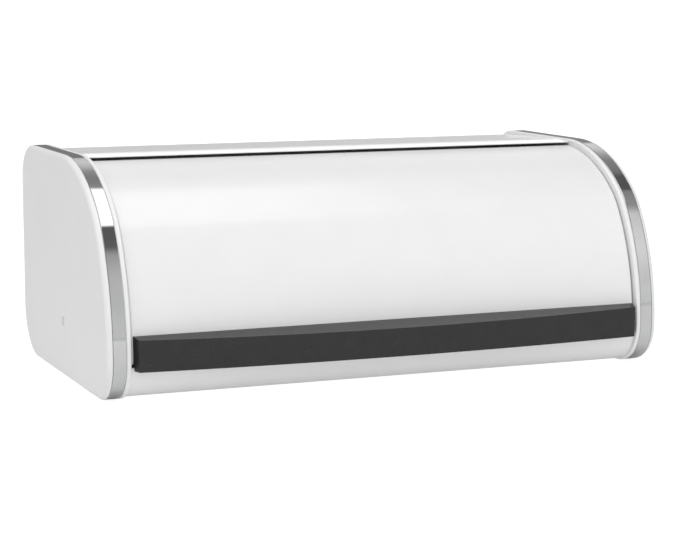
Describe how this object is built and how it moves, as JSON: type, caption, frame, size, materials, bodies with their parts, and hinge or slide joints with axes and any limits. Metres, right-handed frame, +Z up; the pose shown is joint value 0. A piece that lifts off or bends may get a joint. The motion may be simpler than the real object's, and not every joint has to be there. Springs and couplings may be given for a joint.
{
  "type": "bread box with roll top",
  "caption": "Bread box: a bent steel shell between two moulded ends with bright bands, and a curved lid with a bar grip that swings up and rolls back under the top.",
  "frame": {"origin": "on the surface the box stands on, under the centre of the bounding box of the closed box with its grip", "axes": "+X is the width to the right, +Y is to the back, +Z is up; the lid opens from the front (-Y) side"},
  "size_m": [0.445, 0.2644, 0.17],
  "materials": {
    "white_enamel": "satin powder coat",
    "white_cover": "satin moulded",
    "white_frame": "satin moulded",
    "bright_band": "polished",
    "black_grip": "fine matt texture",
    "steel_hardware": "zinc plated",
    "grey_bush": "acetal",
    "grey_rubber": "matt"
  },
  "bodies": {
    "box": {"body_shell": "white_enamel", "side_frame_left": "white_frame", "side_frame_right": "white_frame", "end_cover_left": "white_cover", "end_cover_right": "white_cover", "bright_band_left": "bright_band", "bright_band_right": "bright_band", "pivot_pin_left": "steel_hardware", "pivot_pin_right": "steel_hardware", "pivot_plug_left": "white_frame", "pivot_plug_right": "white_frame", "pivot_washer_left": "steel_hardware", "pivot_washer_right": "steel_hardware", "cover_screws_left": "steel_hardware", "cover_screws_right": "steel_hardware", "shell_screws_left": "steel_hardware", "shell_screws_right": "steel_hardware", "foot_pads_left": "grey_rubber", "foot_pads_right": "grey_rubber", "closed_stop_left": "grey_rubber", "closed_stop_right": "grey_rubber", "open_stop_left": "grey_rubber", "open_stop_right": "grey_rubber"},
    "lid": {"lid_panel": "white_enamel", "lid_cheek_left": "white_frame", "lid_cheek_right": "white_frame", "pivot_bush_left": "grey_bush", "pivot_bush_right": "grey_bush", "cheek_screws_left": "steel_hardware", "cheek_screws_right": "steel_hardware", "grip": "black_grip", "grip_screws": "steel_hardware"}
  },
  "joints": [
    {"name": "lid_hinge", "type": "hinge", "parent": "box", "child": "lid", "pos_m": [0, 0.00465, 0.042], "axis": [-1, 0, 0], "range_deg": [0, 82]}
  ]
}
